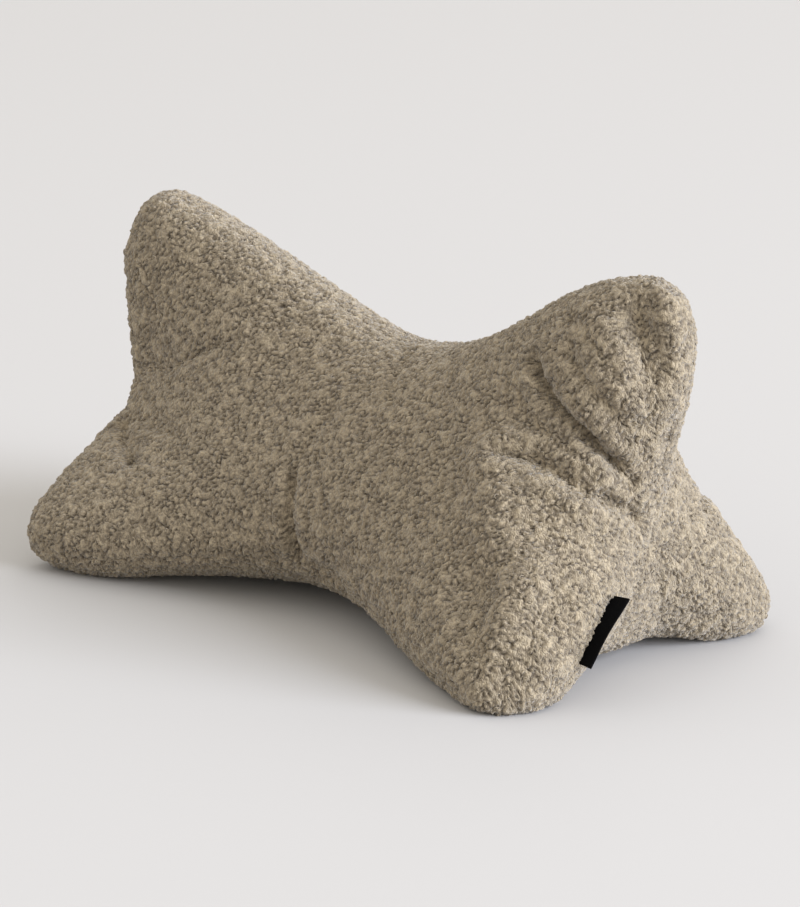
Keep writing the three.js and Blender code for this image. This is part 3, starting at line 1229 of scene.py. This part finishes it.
@dataclass
class SideLabel:
    """A folded woven ribbon caught in the front seam of the right end. Sizes in mm.

    span gives its ends' distances out from the middle line. stands is how far it comes out of the seam, and
    tucked how far it goes in. fan is how much longer its folded edge is, and narrowing how much less it
    stands out at its far end. leaf is the ribbon's own thickness, and thickness that of the folded strip.
    """

    pillow: PillowFrame
    seam: Seam = Seam.FRONT
    span: tuple[float, float] = (48.0, 95.0)
    stands: float = 10.5
    fan: float = 1.5
    narrowing: float = 0.25
    tucked: float = 3.5
    leaf: float = 0.42
    thickness: float = 1.15
    # How far the fold waves along the strip, the wave's number of half turns and its start, and how far the
    # leaves part at the ends, as a share
    wave: float = 0.5
    half_waves: float = 2.2
    wave_start: float = 0.6
    parting: float = 0.35
    # Curls keep off the strip by this much past its ends and beside it, and only from this place on along
    # the pillow
    end_room: float = 2.0
    side_room: float = 2.6
    room_from: float = 150.0
    # How many sections the strip has, and how many points a leaf and the fold have in a section
    stations: int = 60
    leaf_points: int = 13
    fold_points: int = 9
    ribbon: SatinRibbon = SatinRibbon()

    def build(self) -> bpy.types.Object:
        """Sweeps the ribbon's folded section along the seam.

        Returns:
            The label.
        """
        section = self.section()
        share = np.linspace(0, 1, self.stations)
        out = np.linspace(*self.span, self.stations)
        start = self.sewn_edge(out)
        places = []
        for at, x, distance in zip(share, start, out, strict=True):
            flap = section[:, 0] / self.stands
            free = np.maximum(flap, 0)
            bend = self.wave * math.sin(self.half_waves * math.pi * at + self.wave_start) * free**2
            apart = 1 + self.parting * abs(2 * at - 1) ** 6 * free
            reach = distance + self.fan * (at - 0.5) * flap
            along = x + section[:, 0] * (1 - self.narrowing * at * (flap > 0))
            angle = self.seam.value + self.lean(x, distance)
            for row, far, across in zip(along, reach, section[:, 1] * apart + bend, strict=True):
                places.append(self.pillow.place(row, angle + math.degrees(across / far), far))
        piece = mesh_object("side_label_ribbon", np.array(places), self.faces(len(section)))
        piece.data.materials.append(self.ribbon.material())
        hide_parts("side_label")
        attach(piece, "root")
        LOG.info("%s: %d faces", piece.name, len(piece.data.polygons))
        return piece

    def sewn_edge(self, out: np.ndarray) -> np.ndarray:
        """Finds where the CAD label's sewn edge lies along the pillow.

        Args:
            out: Distances out from the middle line, in mm.

        Returns:
            The edge's place along the pillow at each, in mm.
        """
        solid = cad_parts["side_label"]
        corners = np.array([solid.matrix_world @ vertex.co for vertex in solid.data.vertices])
        straight = self.pillow.straight(corners)
        away = np.hypot(straight[:, 1], straight[:, 2])
        middle = np.polyval(np.polyfit(away, straight[:, 0], 2), away)
        sewn = straight[:, 0] < middle
        return np.polyval(np.polyfit(away[sewn], straight[sewn, 0], 3), out)

    def lean(self, x: float, out: float) -> float:
        """How far the seam is turned from its own angle at a place.

        Args:
            x: The place along the pillow, in mm.
            out: Its distance out from the middle line, in mm.

        Returns:
            The turn in degrees.
        """
        turn = math.radians(self.seam.value)
        here = np.array([[x, out * math.cos(turn), out * math.sin(turn)]])
        return float(self.pillow.seam_angle(self.seam, here)[0]) - self.seam.value

    def section(self) -> np.ndarray:
        """Draws the folded ribbon's section.

        Returns:
            A closed outline: how far each point stands out, and its place across the thickness.
        """
        outer = self.hairpin(self.thickness / 2)
        inner = self.hairpin(self.thickness / 2 - self.leaf)
        return np.concatenate([outer, inner[::-1]])

    def hairpin(self, radius: float) -> np.ndarray:
        """Draws one face of the ribbon: out along one leaf, round the fold and back along the other.

        Args:
            radius: The face's distance from the middle of the fold, in mm.

        Returns:
            The points in order, as the section's.
        """
        bend = self.stands - self.thickness / 2
        turn = np.linspace(90, -90, self.fold_points)
        fold = np.stack([bend + radius * np.cos(np.radians(turn)), radius * np.sin(np.radians(turn))], 1)
        leaf = np.linspace(-self.tucked, bend, self.leaf_points + 1)[:-1]
        there = np.stack([leaf, np.full(len(leaf), radius)], 1)
        back = np.stack([leaf[::-1], np.full(len(leaf), -radius)], 1)
        return np.concatenate([there, fold, back])

    def faces(self, around: int) -> np.ndarray:
        """Makes the ribbon's faces, with both cut ends closed.

        Args:
            around: How many points its section has.

        Returns:
            One row of vertex numbers for each face.
        """
        rows = []
        for station in range(self.stations - 1):
            for i in range(around):
                after = (i + 1) % around
                low, high = station * around, (station + 1) * around
                rows.append((low + i, low + after, high + after, high + i))
        last = (self.stations - 1) * around
        for i in range(around // 2 - 1):
            j = around - 1 - i
            rows.append((i, j, j - 1, i + 1))
            rows.append((last + i, last + i + 1, last + j - 1, last + j))
        return np.array(rows)

    def covers(self, points: np.ndarray) -> np.ndarray:
        """Tells where a curl would run into the label.

        Args:
            points: Places in metres.

        Returns:
            True for each place that is too near.
        """
        straight = self.pillow.straight(points)
        out = np.hypot(straight[:, 1], straight[:, 2])
        off, turn = self.pillow.off_seam(self.seam, points)
        low, high = self.span[0] - self.end_room, self.span[1] + self.end_room
        along = (out > low) & (out < high) & (straight[:, 0] > self.room_from)
        return along & (np.abs(off) < self.side_room) & (np.abs(turn) < NEAR_SEAM)


# The studio


@dataclass(frozen=True)
class Softbox:
    """One square soft light that looks at the pillow.

    turn is its direction, in degrees round the pillow from the camera towards the picture's right, and
    elevation its height over the floor, in degrees. size is its side, in metres.
    """

    name: str
    turn: float
    elevation: float
    size: float
    watts: float
    colour: str


@dataclass
class Studio:
    """A pale floor, soft light and the camera at the photograph's angle. Sizes in mm and degrees.

    focal_pixels is the lens's length at picture_width. sky lights the pillow from all round, and backdrop is
    what shows past the floor.
    """

    azimuth: float = 42.898
    elevation: float = 15.778
    roll: float = 0.7227
    distance: float = 2363.0
    focal_pixels: float = 3760.08
    picture_width: float = 800.0
    sensor: float = 36.0
    sight_metres: float = 200.0
    target: Row = (-4.78, 2.85, 94.08)
    floor_size: float = 60000.0
    light_distance: float = 12000.0
    sky: str = "#e5e2dd"
    sky_strength: float = 1.34
    backdrop: str = "#cfcdc8"
    key: Softbox = Softbox("key_softbox", 64.0, 18.0, 8.0, 3000.0, "#e9f0ff")
    back: Softbox = Softbox("back_softbox", 160.0, 38.0, 5.0, 80.0, "#ffffff")
    paint: StudioPaint = StudioPaint()

    def build(self) -> None:
        """Makes the floor, the lights and the camera."""
        self.floor()
        self.lights()
        self.camera()
        view = bpy.context.scene.view_settings
        view.view_transform = "Standard"

    def floor(self) -> None:
        """Makes the floor."""
        half = self.floor_size / 2 * MM
        corners = np.array([[-half, -half, 0], [half, -half, 0], [half, half, 0], [-half, half, 0]])
        floor = mesh_object("studio_floor", corners, np.array([[0, 1, 2, 3]]))
        floor.data.materials.append(self.paint.material())

    def axes(self) -> tuple[np.ndarray, np.ndarray, np.ndarray]:
        """Works out the camera's directions.

        Returns:
            Its right, up and back, each of length 1.
        """
        azimuth, roll = math.radians(self.azimuth), math.radians(self.roll)
        back = sight_line(self.azimuth, self.elevation)
        flat_right = np.array([math.cos(azimuth), math.sin(azimuth), 0.0])
        flat_up = np.cross(back, flat_right)
        right = math.cos(roll) * flat_right + math.sin(roll) * flat_up
        up = -math.sin(roll) * flat_right + math.cos(roll) * flat_up
        return right, up, back

    def camera(self) -> None:
        """Makes the camera and sets it as the scene's."""
        right, up, back = self.axes()
        place = (np.array(self.target) + self.distance * back) * MM
        lens = bpy.data.cameras.new("studio_camera")
        lens.sensor_fit = "HORIZONTAL"
        lens.sensor_width = self.sensor
        lens.lens = self.focal_pixels * self.sensor / self.picture_width
        lens.clip_end = self.sight_metres
        eye = bpy.data.objects.new("studio_camera", lens)
        bpy.context.scene.collection.objects.link(eye)
        turn = Matrix([right, up, back]).transposed().to_4x4()
        eye.matrix_world = Matrix.Translation(Vector(place)) @ turn
        bpy.context.scene.camera = eye

    def lights(self) -> None:
        """Makes the sky's light, the backdrop that the camera sees in its place, and the softboxes."""
        world = bpy.data.worlds.new("studio_sky")
        bpy.context.scene.world = world
        world.use_nodes = True
        world.node_tree.nodes.clear()
        sky = add_node(
            world,
            "ShaderNodeBackground",
            inputs={"Color": linear(self.sky), "Strength": self.sky_strength},
        )
        backdrop = add_node(world, "ShaderNodeBackground", inputs={"Color": linear(self.backdrop)})
        path = add_node(world, "ShaderNodeLightPath")
        seen = add_node(
            world,
            "ShaderNodeMixShader",
            inputs={0: path.outputs["Is Camera Ray"], 1: sky.outputs[0], 2: backdrop.outputs[0]},
        )
        add_node(world, "ShaderNodeOutputWorld", inputs={"Surface": seen.outputs[0]})
        for softbox in (self.key, self.back):
            self.hang(softbox)

    def hang(self, softbox: Softbox) -> None:
        """Makes one softbox's light and turns it to the pillow.

        Args:
            softbox: The softbox.
        """
        light = bpy.data.lights.new(softbox.name, "AREA")
        light.color = linear(softbox.colour)[:3]
        light.size = softbox.size
        light.energy = softbox.watts
        lamp = bpy.data.objects.new(softbox.name, light)
        bpy.context.scene.collection.objects.link(lamp)
        toward = Vector(sight_line(self.azimuth + softbox.turn, softbox.elevation))
        lamp.location = toward * self.light_distance * MM
        lamp.rotation_euler = toward.to_track_quat("Z", "Y").to_euler()


def sight_line(azimuth: float, elevation: float) -> np.ndarray:
    """The direction from the pillow to a place round it.

    Args:
        azimuth: The place's angle round the pillow, in degrees from the front.
        elevation: Its angle over the floor, in degrees.

    Returns:
        The direction, of length 1.
    """
    around, above = math.radians(azimuth), math.radians(elevation)
    level = math.cos(above)
    return np.array([math.sin(around) * level, -math.cos(around) * level, math.sin(above)])


def main() -> None:
    """Builds every piece and the studio."""
    logging.basicConfig(level=logging.INFO, format="%(message)s")
    pillow = PillowFrame()
    label = SideLabel(pillow)
    FleeceCover(pillow, FilledForm(pillow), Clumps(), YarnCurls(), label).build()
    label.build()
    Studio().build()


if __name__ == "__main__":
    main()
